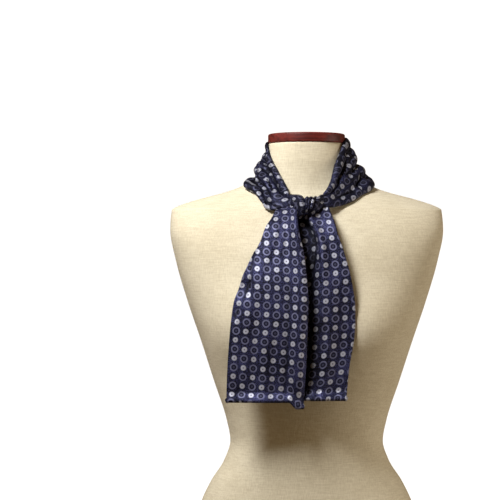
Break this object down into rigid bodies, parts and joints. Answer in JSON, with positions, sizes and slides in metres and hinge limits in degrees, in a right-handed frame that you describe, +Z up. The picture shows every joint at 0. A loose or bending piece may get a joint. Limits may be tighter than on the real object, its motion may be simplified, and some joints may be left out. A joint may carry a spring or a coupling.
{
  "type": "cravat on a dress form",
  "caption": "Patterned satin scarf cravat, tied in a half knot with its tails hanging in front, on a limbless linen-covered torso form with a turned wooden neck cap.",
  "frame": {"origin": "centre of the form's flat underside, on the neck's axis", "axes": "+Z up along the neck, the form faces -Y, +X to the right as seen from the front"},
  "size_m": [0.4, 0.2686, 0.6843],
  "materials": {
    "linen": "cream linen drawn smooth over the form, fine plain weave",
    "wood": "red-brown lacquered hardwood, semi-gloss",
    "satin": "navy satin printed with a repeat of pale dots and thin rings"
  },
  "bodies": {
    "root": {"form_body": "linen", "neck_cap": "wood", "band_left": "satin", "band_back": "satin", "band_right": "satin", "knot": "satin", "tail_left": "satin", "tail_right": "satin"}
  },
  "joints": []
}
